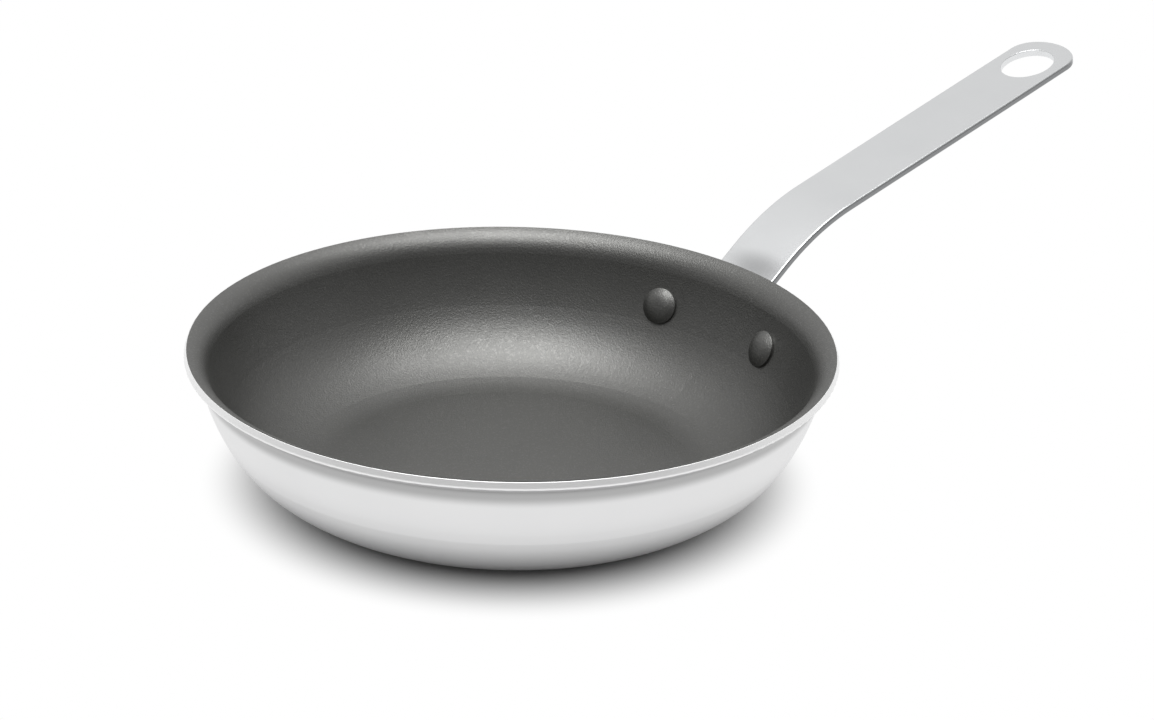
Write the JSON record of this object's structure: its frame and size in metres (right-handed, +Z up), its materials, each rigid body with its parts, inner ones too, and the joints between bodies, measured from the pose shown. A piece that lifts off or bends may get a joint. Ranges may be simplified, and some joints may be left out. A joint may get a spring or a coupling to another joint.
{
  "type": "omelette pan",
  "caption": "Shallow aluminium omelette pan with flared rim, non-stick lining and a riveted flat steel handle with an oval hanging hole.",
  "frame": {"origin": "centre of the base's underside, on the pan's axis", "axes": "+Z up along the pan's axis, +X along the handle, away from the pan"},
  "size_m": [0.4539, 0.2554, 0.1165],
  "materials": {
    "bare_aluminium": "satin spun natural aluminium",
    "nonstick_coating": "dark grey satin non-stick coating with a fine sparkle",
    "plated_steel": "smooth bright plating, satin",
    "rivet_aluminium": "satin"
  },
  "bodies": {
    "root": {"pan_body": "bare_aluminium", "nonstick_lining": "nonstick_coating", "handle": "plated_steel", "rivet_left": "rivet_aluminium", "rivet_right": "rivet_aluminium"}
  },
  "joints": []
}
